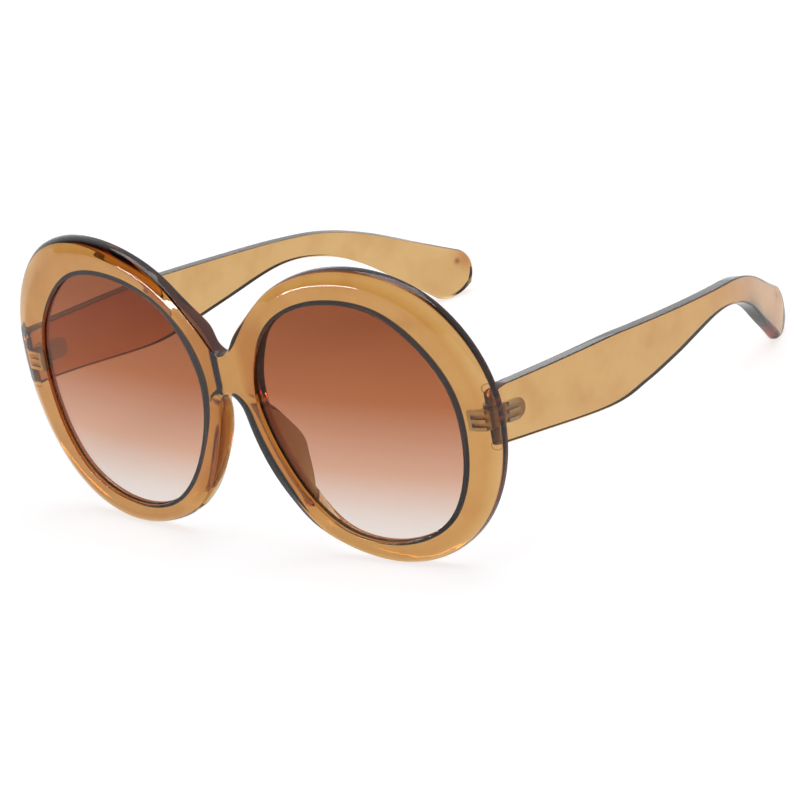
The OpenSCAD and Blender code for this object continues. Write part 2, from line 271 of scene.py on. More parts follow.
def back_depth(points):
    """Depth of the back: even along the rims, and swollen beside the nose opening and behind the bridge.

    The swell is a product of smooth steps, up and down again out from the nose opening and in height. Below
    SWELL_EDGE_TOP it starts at the opening's very edge.
    """
    z, out = points[..., 1], from_nose(points)
    start = np.maximum(smooth_step(out, *SWELL_START), 1 - smooth_step(z, *SWELL_EDGE_TOP))
    rise = start * (1 - smooth_step(out, *SWELL_FADE))
    return FRONT_T + BRIDGE_SWELL * rise * smooth_step(z, *SWELL_FOOT) * (1 - smooth_step(z, *SWELL_HEAD))


def fillet(inset, radius):
    """How far a quarter-round edge lies below its face, a distance inset in from the wall."""
    t = np.clip((radius - inset) / radius, 0, 1)
    return radius * (1 - np.sqrt(1 - t * t))


def edge_insets(radius, band):
    """Insets from band down to the wall for each point along an edge, close together on the round edge."""
    turn = np.linspace(0, np.pi / 2, EDGE_STEPS)[:, None]
    return np.vstack([np.linspace(band, radius, BAND_ROWS + 1)[:-1], radius * (1 - np.sin(turn))])


def edge_strip(curve, normals, band, radii, wall_depths):
    """Section carried along an edge: out along the face, over a round edge, down the wall, in on the back.

    The normals point out of the plastic, radii are those of the face's and the back's edge, and wall_depths
    lists the depth and inset of what is cut into the wall.
    """
    rows = []
    face_r, back_r = (np.broadcast_to(radius, len(curve)) for radius in radii)
    for inset in edge_insets(face_r, np.full(len(curve), band)):
        flat = curve - normals * inset[:, None]
        rows.append(bent(flat, face_depth(flat) + fillet(inset, face_r)))
    for depth, inset in wall_depths:
        rows.append(bent(curve - normals * inset, np.full(len(curve), depth)))
    for inset in edge_insets(back_r, np.full(len(curve), band))[::-1]:
        flat = curve - normals * inset[:, None]
        rows.append(bent(flat, back_depth(flat) - fillet(inset, back_r)))
    return np.stack(rows)


def grid_faces(rows, columns, closed, start=0):
    """Quads of a grid of points whose columns close on themselves if closed."""
    r = np.arange(rows - 1)[:, None]
    c = np.arange(columns if closed else columns - 1)[None]
    a = r * columns + c
    b = r * columns + (c + 1) % columns
    return start + np.stack([a, b, b + columns, a + columns], -1).reshape(-1, 4)


def mirror_x(points):
    """The same points on the other side of the glasses."""
    return points * np.array([-1.0, 1.0, 1.0])


def new_piece(name, points, faces, material, body, replaced, sharp):
    """Mesh object from points in millimetres and quads, with corners sharper than an angle left hard."""
    mesh = solid_mesh(name, points, faces)
    mesh.polygons.foreach_set("use_smooth", np.ones(len(mesh.polygons), bool))
    mesh.set_sharp_from_angle(angle=np.radians(sharp))
    mesh.materials.append(material)
    piece = bpy.data.objects.new(name, mesh)
    bpy.context.scene.collection.objects.link(piece)
    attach(piece, body)
    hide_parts(*replaced)
    return piece


def solid_mesh(name, points, faces):
    """Closed mesh of points in millimetres and quads. Doubles merge, and a quad there becomes a triangle."""
    points = np.asarray(points, float).reshape(-1, 3)
    _, first, index = np.unique(np.round(points, DECIMALS), axis=0, return_index=True, return_inverse=True)
    quads = index.reshape(-1)[np.asarray(faces)]
    twice = quads == np.roll(quads, -1, axis=1)
    whole = quads[~twice.any(1)]
    cut = twice.sum(1) == 1
    triangles = quads[cut][~twice[cut]].reshape(-1, 3)
    mesh = bpy.data.meshes.new(name)
    mesh.from_pydata((points[first] * MM).tolist(), [], whole.tolist() + triangles.tolist())
    mesh.validate()
    point_out(mesh)
    return mesh


def point_out(mesh):
    """Turns all faces of a closed mesh the same way, outwards."""
    work = bmesh.new()
    work.from_mesh(mesh)
    bmesh.ops.recalc_face_normals(work, faces=work.faces)
    if work.calc_volume(signed=True) < 0:
        bmesh.ops.reverse_faces(work, faces=work.faces)
    work.to_mesh(mesh)
    work.free()


def crest_shares():
    """Shares of the way across a rim for the face's rows, which a cubic crowds together at the crest."""
    even = np.linspace(-1, 1, FACE_ROWS)
    crowded = CREST_CROWD * even + (1 - CREST_CROWD) * even ** 3
    share = CREST_ROW_SHARE + np.where(crowded < 0, CREST_ROW_SHARE, 1 - CREST_ROW_SHARE) * crowded
    return np.clip(share, 0, 1)


def rows_across(lip, border, shares):
    """Rows of points between the lens opening's lip and the border, one for each share of the way."""
    share = shares[:, None, None]
    return lip * (1 - share) + border * share


def at_angles(curve, values, angle):
    """Values that a closed curve carries where rays from the lens's middle at these angles cross it."""
    own = np.arctan2(*(curve - LENS_MIDDLE).T[::-1])
    order = np.argsort(own)
    return np.stack([np.interp(angle, own[order], values[order, k], period=2 * np.pi) for k in range(2)], -1)


def front_half():
    """Points and quads of the wearer's left half of the front.

    A ring of rows joins the lens opening to the outline and to the middle of the bridge, once for the face
    and once for the back, and two edge strips close the outer wall and the groove wall.
    """
    half = OUTLINE[:OUTLINE_POINTS + 1]
    half_normals = outward(OUTLINE)[:OUTLINE_POINTS + 1]
    inner_edge = half - half_normals * EDGE_BAND
    bridge = np.linspace(inner_edge[-1], inner_edge[0], BRIDGE_POINTS + 1)[1:-1]
    border = np.vstack([inner_edge, bridge])
    angle = np.arctan2(*(border - LENS_MIDDLE).T[::-1])
    normals = outward(OPENING)
    lip_edge = OPENING + normals * LIP_BAND
    lip = at_angles(lip_edge, lip_edge, angle)
    flat = rows_across(lip, border, crest_shares())
    face = bent(flat, face_depth(flat))
    flat = rows_across(lip, border, np.linspace(0, 1, BACK_ROWS))
    back = bent(flat, back_depth(flat))
    groove = [((FRONT_T - LENS_T) / 2 - GROOVE_GAP, 0), (FRONT_T / 2, LENS_RIDGE + GROOVE_GAP),
              ((FRONT_T + LENS_T) / 2 + GROOVE_GAP, 0)]
    wall = at_angles(OPENING, OPENING, angle)
    inner = edge_strip(wall, -at_angles(OPENING, normals, angle), LIP_BAND, (LIP_R, LIP_BACK_R), groove)
    inner[0], inner[-1] = face[0], back[0]
    edge_r = NOSE_EDGE_R + (FACE_EDGE_R - NOSE_EDGE_R) * smooth_step(half[:, 0], *NOSE_EDGE_SPAN)
    outer = edge_strip(half, half_normals, EDGE_BAND, (edge_r, BACK_EDGE_R), [])
    points, faces, start = [], [], 0
    for grid, closed in ((face, True), (back, True), (inner, True), (outer, False)):
        points.append(grid.reshape(-1, 3))
        faces.append(grid_faces(*grid.shape[:2], closed, start))
        start += len(points[-1])
    return np.vstack(points), np.vstack(faces)


def make_front(material):
    """The front: one half and its mirror image, merged along the middle of the bridge."""
    points, faces = front_half()
    both = np.vstack([points, mirror_x(points)])
    quads = np.vstack([faces, faces[:, ::-1] + len(points)])
    piece = new_piece("front", both, quads, material, "front", ["front_frame"], FRONT_SHARP)
    mark_front_walls(piece)


def mark_front_walls(piece):
    """Attributes of the front's faces that say how the plastic looks there.

    A normal's part along the front's own depth is 1 on the face, -1 on the back and 0 on a wall, and a
    smooth step of it tells the walls. edge_wall is 1 on walls. painted_shade_wall is above zero on walls of
    the lens seats, which the material paints dark as shade. open_side is above zero on walls that are open to
    light from outside, and below zero on backs that are open to light from inside.
    """
    centres = face_values(piece.data, "center") / MM
    turn = centres[:, 0] / FACE_R
    broad = np.stack([turn, -np.sqrt(1 - turn ** 2), np.zeros(len(turn))], -1)
    along = (face_values(piece.data, "normal") * broad).sum(1)
    steep = np.where(along < 0, 1 - smooth_step(-along, *SLOPE_LEAN), 1 - smooth_step(along, *WALL_LEAN))
    flat = centres[:, ::2]
    seat = distance_to(np.abs(flat), OPENING) < SEAT_BAND
    nasal = (from_nose(flat) < OPEN_REACH) & (flat[:, 1] > OPEN_HEIGHTS[0]) & (flat[:, 1] < OPEN_HEIGHTS[1])
    mark_faces(piece, "edge_wall", steep)
    # Lens seat walls are marked for painted shade, seen from inside
    mark_faces(piece, "painted_shade_wall", steep * seat * SEAT_PAINTED_SHADE)
    mark_faces(piece, "open_side", OPEN_PART * nasal * np.where(along < BACK_LEAN, steep - 1, steep * ~seat))


def face_values(mesh, name):
    """Normals or centres of a mesh's faces, as rows."""
    values = np.empty(len(mesh.polygons) * 3)
    mesh.polygons.foreach_get(name, values)
    return values.reshape(-1, 3)


def mark_faces(piece, name, values):
    """Stores a number on each face for the materials to read."""
    mark = piece.data.attributes.new(name, "FLOAT", "FACE")
    mark.data.foreach_set("value", values.astype(float))


# Lenses: points round them, rings across a sheet, the share where these start, and the lean at which it ends
LENS_POINTS = 240
LENS_RINGS = 24
LENS_FIRST_SHARE = 0.02
LENS_EDGE_LEAN = 0.9
LENS_SHARP = 20


def make_lens(side, material):
    """A lens: two sheets that follow the front, scaled rings of its outline, joined by an edge with a ridge.

    Its attribute lens_edge is 1 on that ground edge, whose faces lean away from Y, and 0 elsewhere. The lens
    material paints it near black there, as shade in the groove.
    """
    rim = lens_opening(LENS_POINTS)
    normals = outward(rim)
    shares = np.concatenate([[0], np.linspace(LENS_FIRST_SHARE, 1, LENS_RINGS)])[:, None, None]
    rings = LENS_MIDDLE + (rim - normals * LENS_EDGE_GAP - LENS_MIDDLE) * shares
    front_sheet = bent(rings, (FRONT_T - LENS_T) / 2)
    back_sheet = bent(rings, (FRONT_T + LENS_T) / 2)
    ridge = bent(rim + normals * (LENS_RIDGE - LENS_EDGE_GAP), FRONT_T / 2)
    points = np.vstack([front_sheet, ridge[None], back_sheet[::-1]])
    if side == "right":
        points = mirror_x(points)
    faces = grid_faces(*points.shape[:2], True)
    piece = new_piece(side + "_lens_sheet", points, faces, material, "front",
                      [side + "_lens"], LENS_SHARP)
    lean = np.abs(face_values(piece.data, "normal")[:, 1])
    mark_faces(piece, "lens_edge", lean < LENS_EDGE_LEAN)


# Temples: their path seen from above, a bow and then a curl, with its first heading in degrees, and their
# side view, as shares of their run and of the hinge's height over the tip, and places in SIDE_HEIGHTS
TEMPLE_T = 3.4
TEMPLE_RUN = 134.0
SIDE_HEIGHTS = np.array([13.8, 16.4, 6.1, 13.2])
TIP_H = SIDE_HEIGHTS[-1]
BOW_R = 415.0
CURL_R = 84.0
BOW_START = -4.0
BOW_END_SHARE = 0.61
CURL_END_SHARE = 0.8
CURL_SOFT_SHARES = np.array([0.54, 0.87])
LEAF_INSET = 0.4
BUTT_GAP = 0.2
SIDE_SHARES = np.array([
    (-0.052, 1.07, 0), (0, 1.01, 0), (0.1, 0.943, 0.32), (0.3, 0.814, 1), (0.402, 0.779, 1.2),
    (0.503, 0.758, 1.5), (0.658, 0.729, 1.98), (0.763, 0.639, 2), (0.848, 0.469, 2.2), (0.933, 0.21, 2.62),
    (1, 0, 3),
])

# Temples: their edges, how far normals lean where walls start, and the points of their path and sections
TEMPLE_EDGE_R = 0.45
TIP_EDGE_R = 1.6
TIP_ROUND = 16.0
BUTT_EDGE = 0.3
THINNEST = 0.01
TEMPLE_LEAN = (0.45, 0.9)
TEMPLE_SHARP = 50
PLAN_START = -12.0
PLAN_END_SHARE = 1.15
PLAN_POINTS = 900
SIDE_STEPS = 40
TEMPLE_STEPS = 320
TEMPLE_EDGE_STEPS = 12
TIP_STEPS = 24


def temple_plan():
    """Outer face of the left temple seen from above: a bow, a tighter curl, and a straight tip.

    Its heading is worked out from the length along it, and steps in that heading are summed. It comes as
    points, inward normals, and the heading at the tip.
    """
    bow_length = TEMPLE_RUN * BOW_END_SHARE
    curl_turn = np.degrees(TEMPLE_RUN * (CURL_END_SHARE - BOW_END_SHARE) / CURL_R)
    tip_heading = BOW_START + np.degrees(bow_length / BOW_R) + curl_turn
    length = np.linspace(PLAN_START, TEMPLE_RUN * PLAN_END_SHARE, PLAN_POINTS)
    heading = BOW_START + np.degrees(np.clip(length, 0, bow_length) / BOW_R)
    heading = np.radians(heading + curl_turn * smooth_step(length, *TEMPLE_RUN * CURL_SOFT_SHARES))
    step = np.diff(length, prepend=length[0])
    path = np.cumsum(np.stack([-np.sin(heading), np.cos(heading)], -1) * step[:, None], axis=0)
    at_hinge = np.array([np.interp(0, length, path[:, k]) for k in range(2)])
    path += [AXIS_X + LEAF_INSET + TEMPLE_T, AXIS_Y] - at_hinge
    return path, np.stack([-np.cos(heading), -np.sin(heading)], -1), np.radians(tip_heading)


def open_spline(points, steps):
    """Smooth open curve through the points, each stretch a cubic set by its neighbours."""
    p = np.vstack([points[:1], points, points[-1:]])
    t = (np.arange(steps) / steps)[None, :, None]
    a, b, c, d = (p[k:len(p) - 3 + k, None] for k in range(4))
    curve = 2 * b + (c - a) * t + (2 * a - 5 * b + 4 * c - d) * t ** 2 + (3 * b - a - 3 * c + d) * t ** 3
    return np.vstack([curve.reshape(-1, points.shape[1]) / 2, points[-1:]])


def temple_rows():
    """Sections of the left temple from its joint to its tip, each a bar with round edges across its path.

    A section's height and direction come from the side view. Each of its points then goes inwards from the
    outer face, square to the path seen from above, by its depth in the section. The tip is a half circle.
    """
    plan, normal, tip_heading = temple_plan()
    tip_run = TEMPLE_RUN - TIP_H / 2 * np.cos(tip_heading)
    middle = np.stack([AXIS_Y + SIDE_SHARES[:, 0] * tip_run,
                       TIP_H / 2 + SIDE_SHARES[:, 1] * (HINGE_Z - TIP_H / 2),
                       np.interp(SIDE_SHARES[:, 2], np.arange(len(SIDE_HEIGHTS)), SIDE_HEIGHTS)], -1)
    line = even_steps(open_spline(middle, SIDE_STEPS), TEMPLE_STEPS)
    along = np.gradient(line[:, :2], axis=0)
    along /= np.linalg.norm(along, axis=1, keepdims=True)
    up = np.stack([-along[:, 1], along[:, 0]], -1)
    half = line[:, 2] / 2
    turn = np.linspace(0, np.pi / 2, TIP_STEPS)[1:]
    reach = half[-1] * np.cos(tip_heading)
    tip = line[-1, :2] + along[-1] * (reach * np.sin(turn))[:, None]
    centre = np.vstack([line[:, :2], tip])
    up = np.vstack([up, np.repeat(up[-1:], len(turn), 0)])
    half = np.concatenate([half, half[-1] * np.cos(turn)])[:, None]
    round_tip = smooth_step(centre[:, :1] - AXIS_Y, tip_run - TIP_ROUND, tip_run)
    width, depth = bar_section(half, TEMPLE_EDGE_R + (TIP_EDGE_R - TEMPLE_EDGE_R) * round_tip)
    side = centre[:, None] + up[:, None] * width[..., None]
    outer, inward = (np.stack([np.interp(side[..., 0], plan[:, 1], values[:, k]) for k in range(2)], -1)
                     for values in (plan, normal))
    return np.concatenate([outer + inward * depth[..., None], side[..., 1:]], -1)


def bar_section(half, radius):
    """Heights and depths round a bar's section, a row for each half height: flat sides and round edges."""
    turn = np.linspace(0, np.pi / 2, TEMPLE_EDGE_STEPS)
    rise, run = np.sin(turn), np.cos(turn)
    r = np.minimum(radius, np.maximum(half, THINNEST))
    flat = half - r
    inner = TEMPLE_T - radius
    width = np.hstack([flat + r * rise, flat + r * run, -flat - r * rise, -flat - r * run])
    depth = [inner + radius * run, radius - radius * rise, radius - radius * run, inner + radius * rise]
    return width, np.hstack(depth)


def make_temple(side, material):
    """A temple: its sections from the joint to the tip, with an end that follows the back of the front."""
    rows = temple_rows()
    low = rows[..., 2].min()
    rows[..., 2] = HINGE_Z - (HINGE_Z - rows[..., 2]) * HINGE_Z / (HINGE_Z - low)
    butt = FACE_Y + FACE_R - np.sqrt((FACE_R - FRONT_T - BUTT_GAP) ** 2 - rows[..., 0] ** 2)
    clear = (rows[..., 1] - butt).min(1)
    first = np.argmax(clear > BUTT_EDGE)
    end, shoulder = rows[first].copy(), rows[first].copy()
    middle = end.mean(0)
    end += (middle - end) / np.linalg.norm(middle - end, axis=1, keepdims=True) * BUTT_EDGE
    end[:, 1] = butt[first]
    shoulder[:, 1] = butt[first] + BUTT_EDGE
    caps = [np.broadcast_to(row.mean(0), end.shape) for row in (end, rows[-1])]
    points = np.stack([caps[0], end, shoulder, *rows[first + 1:], caps[1]])
    if side == "right":
        points = mirror_x(points)
    faces = grid_faces(*points.shape[:2], True)
    piece = new_piece(side + "_temple_bar", points, faces, material, side + "_temple",
                      [side + "_temple"], TEMPLE_SHARP)
    steep = smooth_step(np.abs(face_values(piece.data, "normal")[:, 2]), *TEMPLE_LEAN)
    mark_faces(piece, "edge_wall", steep)
    # Temple walls are marked for painted shade, seen from inside
    mark_faces(piece, "painted_shade_wall", steep)


# Nose pads: back edge and seat, as shares of the pad's length, the lens width, and the pad's reach or width
PAD_REACH = 7.0
PAD_W = 3.8
PAD_EDGE = 1.8
PAD_TOP_SHARE = 0.5
PAD_BOTTOM_SHARE = 0.16
PAD_SINK = 0.15
PAD_FULLNESS = 0.35
PAD_SHARP = 60
PAD_STEPS = 10
PAD_POINTS = 40
PAD_EDGE_SHARES = np.array([
    (0, -0.02, 0.1), (0.08, -0.01, 0.43), (0.2, 0.007, 0.71), (0.42, 0.053, 1), (0.6, 0.081, 0.87),
    (0.76, 0.107, 0.68), (0.9, 0.133, 0.42), (1, 0.157, 0.15),
])
PAD_SEAT_SHARES = np.array([
    (0, -0.074, 0.3), (0.08, -0.067, 0.5), (0.2, -0.043, 0.85), (0.42, -0.008, 1), (0.6, 0.025, 1),
    (0.76, 0.06, 0.95), (0.9, 0.094, 0.75), (1, 0.117, 0.4),
])


def make_pad(side, material):
    """A nose pad: full ovals stacked from top to bottom, each from the seat on the rim to the back edge.

    Round an oval, the way out goes as a cosine, and the way across as a low power of a sine times the
    thickness there. Its attribute open_side opens the side away from the nose to light from inside, and the
    nose side to light from outside.
    """
    edge = open_spline(PAD_EDGE_SHARES, PAD_STEPS)
    seat = open_spline(PAD_SEAT_SHARES, PAD_STEPS)
    z = FRONT_H * (PAD_TOP_SHARE + (PAD_BOTTOM_SHARE - PAD_TOP_SHARE) * edge[:, 0])
    root_x = BRIDGE_W / 2 + seat[:, 1] * LENS_W
    root = np.stack([root_x, back_depth(np.stack([root_x, z], -1)) - PAD_SINK], -1)
    crown = np.stack([BRIDGE_W / 2 + edge[:, 1] * LENS_W, FRONT_T + edge[:, 2] * PAD_REACH], -1)
    length = np.linalg.norm(crown - root, axis=1, keepdims=True)
    way = (crown - root) / length
    across = np.stack([way[:, 1], -way[:, 0]], -1)
    angle = np.linspace(0, 2 * np.pi, PAD_POINTS, endpoint=False)
    share = (1 + np.cos(angle)) / 2
    seat_w = seat[:, 2:] * PAD_W
    thick = seat_w / 2 * (1 - share) + np.minimum(PAD_EDGE, seat_w) / 2 * share
    bulge = np.sign(np.sin(angle)) * np.abs(np.sin(angle)) ** PAD_FULLNESS
    flat = root[:, None] + way[:, None] * (length * share)[..., None]
    flat = flat + across[:, None] * (thick * bulge)[..., None]
    rings = np.stack([flat[..., 0], FACE_Y + flat[..., 1], np.broadcast_to(z[:, None], flat.shape[:2])], -1)
    ends = [np.broadcast_to(rings[k].mean(0), rings[k].shape) for k in (0, -1)]
    points = np.stack([ends[0], *rings, ends[1]])
    if side == "right":
        points = mirror_x(points)
    faces = grid_faces(*points.shape[:2], True)
    piece = new_piece(side + "_pad", points, faces, material, "front",
                      [side + "_nose_pad"], PAD_SHARP)
    lean = face_values(piece.data, "normal")[:, 0] * (1 if side == "left" else -1)
    mark_faces(piece, "open_side", OPEN_PART * np.where(lean > 0, -1, 1))


# Clear amber plastic: its tint in the depth, how dense that is in each piece, and the light that it lets past
AMBER_TINT = (0.809, 0.547, 0.026, 1)
FRONT_DENSITY = 620.0
TEMPLE_DENSITY = 500.0
PAD_DENSITY = 350.0
AMBER_SHADOW = (0.86, 0.74, 0.56, 1)
PLASTIC_IOR = 1.49

# Surface of the amber plastic: tint of plain faces, painted shade tints of pads and walls, the painted dark
# of walls seen from inside, and the clouds' tint
WHITE = (1, 1, 1, 1)
PAD_PAINTED_SHADE = (0.45, 0.38, 0.3, 1)
WALL_SHADE = (1, 0.93, 0.8, 1)
WALL_PAINTED_SHADE = (0.02, 0.018, 0.018, 1)
CLOUD_TINT = (0.78, 0.6, 0.4, 1)
CLOUD_PART = 0.5

# Polish marks: scale, roughness where smooth and where dull, and height in millimetres
CLEAR_MARKS = (110.0, 0.01, 0.04, 0.008)
HINGE_MARKS = (900.0, 0.28, 0.5, 0.05)
SCREW_MARKS = (1500.0, 0.2, 0.35, 0.02)
WAVE_DETAIL = 2
MARK_DETAIL = 6
MARKS_PER_WAVE = 9
PATCH_SPAN = (0.45, 0.75)
HINGE_COLOUR = (0.5, 0.44, 0.35, 1)
SCREW_COLOUR = (0.62, 0.6, 0.57, 1)

# Moulding marks: pin circles on the back of the rims, and gate spots in the temple tips, each with its
# centre, its radius, the width of its line and its tint
PIN_SPOTS = ((70.6, 44.7), (70.4, 30.8))
PIN_R = 1.05
PIN_LINE = 0.3
PIN_TINT = (0.45, 0.3, 0.18, 1)
GATE_MARKS = [
    ((49.2, 67.6, 9.6), 0, 1.5, (0.25, 0.1, 0.04, 1)),
    ((49.4, 71.2, 9.6), 0, 5.0, (0.72, 0.4, 0.2, 1)),
]

# Graded lens: its tint at shares of its height, painted shade on its edge in the groove, its gloss, and the
# light that it lets past
LENS_GRADE = (
    (0.0, (0.87, 0.8, 0.76, 1)), (0.083, (0.82, 0.72, 0.66, 1)), (0.29, (0.68, 0.39, 0.27, 1)),
    (0.59, (0.44, 0.15, 0.062, 1)), (0.9, (0.31, 0.09, 0.033, 1)), (1.0, (0.29, 0.083, 0.03, 1)),
)
LENS_EDGE_SHADE = (0.012, 0.008, 0.007, 1)
LENS_MIRROR = (0.12, 0.12, 0.12, 1)
LENS_SHADOW = (0.75, 0.6, 0.5, 1)


def shader(name):
    """New material with an empty node tree and its output."""
    material = bpy.data.materials.new(name)
    material.use_nodes = True
    tree = material.node_tree
    tree.nodes.clear()
    return material, tree, tree.nodes.new("ShaderNodeOutputMaterial")


def add_node(tree, kind, inputs=(), **settings):
    """New shader node with its settings. An input is a number, a colour, or another node's output to link."""
    node = tree.nodes.new("ShaderNode" + kind)
    for name, value in settings.items():
        setattr(node, name, value)
    for name, value in dict(inputs).items():
        if isinstance(value, bpy.types.NodeSocket):
            tree.links.new(value, node.inputs[name])
        else:
            node.inputs[name].default_value = value
    return node


def maths(tree, operation, *values, clamp=False):
    """Result of a calculation with numbers or outputs."""
    return add_node(tree, "Math", enumerate(values), operation=operation, use_clamp=clamp).outputs[0]


def in_range(tree, value, given, wanted=(0, 1), **settings):
    """A value carried from the given range to the wanted one, and held at the ends."""
    inputs = {"Value": value, "From Min": given[0], "From Max": given[1]}
    inputs.update({"To Min": wanted[0], "To Max": wanted[1]})
    return add_node(tree, "MapRange", inputs, **settings).outputs[0]


def mixed_colour(tree, part, one, other, blend="MIX"):
    """One colour with a part of another mixed in, or multiplied in."""
    inputs = {"Factor": part, "A": one, "B": other}
    return add_node(tree, "Mix", inputs, data_type="RGBA", blend_type=blend).outputs["Result"]


def mixed_surface(tree, part, one, other):
    """One surface with a part of another mixed in."""
    return add_node(tree, "MixShader", enumerate((part, one.outputs[0], other.outputs[0])))


def face_mark(tree, name):
    """The number that a piece's faces carry under a name."""
    return add_node(tree, "Attribute", attribute_name=name).outputs["Fac"]


def new_group(name, inputs, outputs):
    """Empty node group, and the sockets inside it for its inputs, given by name and kind, and its outputs."""
    group = bpy.data.node_groups.new(name, "ShaderNodeTree")
    for label, kind in inputs:
        group.interface.new_socket(label, in_out="INPUT", socket_type="NodeSocket" + kind)
    for label in outputs:
        group.interface.new_socket(label, in_out="OUTPUT", socket_type="NodeSocketFloat")
    return group, group.nodes.new("NodeGroupInput").outputs, group.nodes.new("NodeGroupOutput").inputs


def polish_group():
    """Shared surface detail: low waves left by polishing, clouds on them, and marks that dull patches."""
    inputs = (("Scale", "Float"), ("Smooth", "Float"), ("Dull", "Float"))
    group, given, result = new_group("polish_marks", inputs, ("Roughness", "Height", "Cloud"))
    place = add_node(group, "TexCoord").outputs["Object"]
    finer = maths(group, "MULTIPLY", given["Scale"], MARKS_PER_WAVE)
    waves = add_node(group, "TexNoise", {"Vector": place, "Scale": given["Scale"], "Detail": WAVE_DETAIL})
    marks = add_node(group, "TexNoise", {"Vector": place, "Scale": finer, "Detail": MARK_DETAIL})
    patches = in_range(group, marks.outputs["Fac"], PATCH_SPAN, (given["Smooth"], given["Dull"]))
    group.links.new(patches, result["Roughness"])
    group.links.new(waves.outputs["Fac"], result["Height"])
    group.links.new(in_range(group, waves.outputs["Fac"], PATCH_SPAN), result["Cloud"])
    return group


def mark_group():
    """Shared mask of a round moulding mark on both sides: 1 on a ring, or at a point if Radius is 0.

    It falls by a smooth step of how far the distance from the centre is off the radius.
    """
    inputs = (("Centre", "Vector"), ("Radius", "Float"), ("Width", "Float"))
    group, given, result = new_group("round_mark", inputs, ("Mask",))
    place = add_node(group, "SeparateXYZ", {0: add_node(group, "TexCoord").outputs["Object"]}).outputs
    size = maths(group, "ABSOLUTE", place["X"])
    left = add_node(group, "CombineXYZ", {"X": size, "Y": place["Y"], "Z": place["Z"]})
    away = add_node(group, "VectorMath", {0: left.outputs[0], 1: given["Centre"]}, operation="DISTANCE")
    off = maths(group, "ABSOLUTE", maths(group, "SUBTRACT", away.outputs["Value"], given["Radius"]))
    mask = in_range(group, off, (0, given["Width"]), (1, 0), interpolation_type="SMOOTHSTEP")
    group.links.new(mask, result["Mask"])
    return group


POLISH = polish_group()
ROUND_MARK = mark_group()


def polish(tree, scale, smooth, dull, rise):
    """Polish marks put into a material: their outputs, and the normal of a relief, rise millimetres high."""
    marks = add_node(tree, "Group", node_tree=POLISH)
    for name, value in (("Scale", scale), ("Smooth", smooth), ("Dull", dull)):
        marks.inputs[name].default_value = value
    relief = add_node(tree, "Bump", {"Strength": 1, "Distance": rise * MM, "Height": marks.outputs["Height"]})
    return marks.outputs, relief.outputs["Normal"]


def marked_colour(tree, colour, centre, radius, width, tint):
    """A colour multiplied by a tint where a round moulding mark lies. Lengths are in millimetres."""
    mark = add_node(tree, "Group", node_tree=ROUND_MARK)
    for name, value in (("Centre", np.array(centre) * MM), ("Radius", radius * MM), ("Width", width * MM)):
        mark.inputs[name].default_value = value
    return mixed_colour(tree, mark.outputs["Mask"], colour, tint, "MULTIPLY")


def metal(name, colour, marks):
    """Plain metal with polish marks."""
    material, tree, output = shader(name)
    given, normal = polish(tree, *marks)
    surface = add_node(tree, "BsdfPrincipled", {"Metallic": 1, "Base Color": colour,
                                                "Roughness": given["Roughness"], "Normal": normal})
    tree.links.new(surface.outputs[0], output.inputs["Surface"])
    return material


def finish_clear(tree, output, surface, shadow):
    """Sends a clear surface out, and lets lamps and soft light straight through it in a shadow's colour."""
    path = add_node(tree, "LightPath").outputs
    through = add_node(tree, "BsdfTransparent", {"Color": shadow})
    soft = maths(tree, "MAXIMUM", path["Is Shadow Ray"], path["Is Diffuse Ray"])
    tree.links.new(mixed_surface(tree, soft, surface, through).outputs[0], output.inputs["Surface"])


def amber_plastic(name, density, face=WHITE, marks=()):
    """Clear amber plastic: glass with absorption inside, and walls painted dark as shade or left open where
    its pieces say so.

    Seen from inside, an edge wall is painted dark as shade where it would mirror, and a painted_shade_wall at
    any
    angle: a near-black diffuse surface is mixed in for that painted shade. Edge walls also take a painted
    shade tint. A face lets light straight through as far as open_side, with its sign turned if seen from
    inside, is above zero.
    """
    material, tree, output = shader(name)
    edge_wall = face_mark(tree, "edge_wall")
    polished, normal = polish(tree, *CLEAR_MARKS)
    # Edge walls take a warm painted shade tint
    colour = mixed_colour(tree, edge_wall, face, WALL_SHADE)
    cloud = maths(tree, "MULTIPLY", polished["Cloud"], CLOUD_PART)
    colour = mixed_colour(tree, cloud, colour, CLOUD_TINT, "MULTIPLY")
    for mark in marks:
        colour = marked_colour(tree, colour, *mark)
    glass = add_node(tree, "BsdfPrincipled", {"Base Color": colour, "Roughness": polished["Roughness"],
                                              "Normal": normal, "IOR": PLASTIC_IOR, "Transmission Weight": 1})
    inside = add_node(tree, "NewGeometry").outputs["Backfacing"]
    mirror = add_node(tree, "Fresnel", {"IOR": PLASTIC_IOR}).outputs[0]
    dark = maths(tree, "MAXIMUM", maths(tree, "MULTIPLY", edge_wall, mirror), face_mark(tree, "painted_shade_wall"))
    # Near-black diffuse surface mixed in as painted shade on walls seen from inside
    painted_shade = add_node(tree, "BsdfDiffuse", {"Color": WALL_PAINTED_SHADE})
    body = mixed_surface(tree, maths(tree, "MULTIPLY", dark, inside), glass, painted_shade)
    turned = maths(tree, "MULTIPLY_ADD", inside, -2, 1)
    open_part = maths(tree, "MULTIPLY", turned, face_mark(tree, "open_side"), clamp=True)
    clear = mixed_surface(tree, open_part, body, add_node(tree, "BsdfTransparent"))
    finish_clear(tree, output, clear, AMBER_SHADOW)
    depth = add_node(tree, "VolumeAbsorption", {"Color": AMBER_TINT, "Density": density})
    tree.links.new(depth.outputs[0], output.inputs["Volume"])
    return material


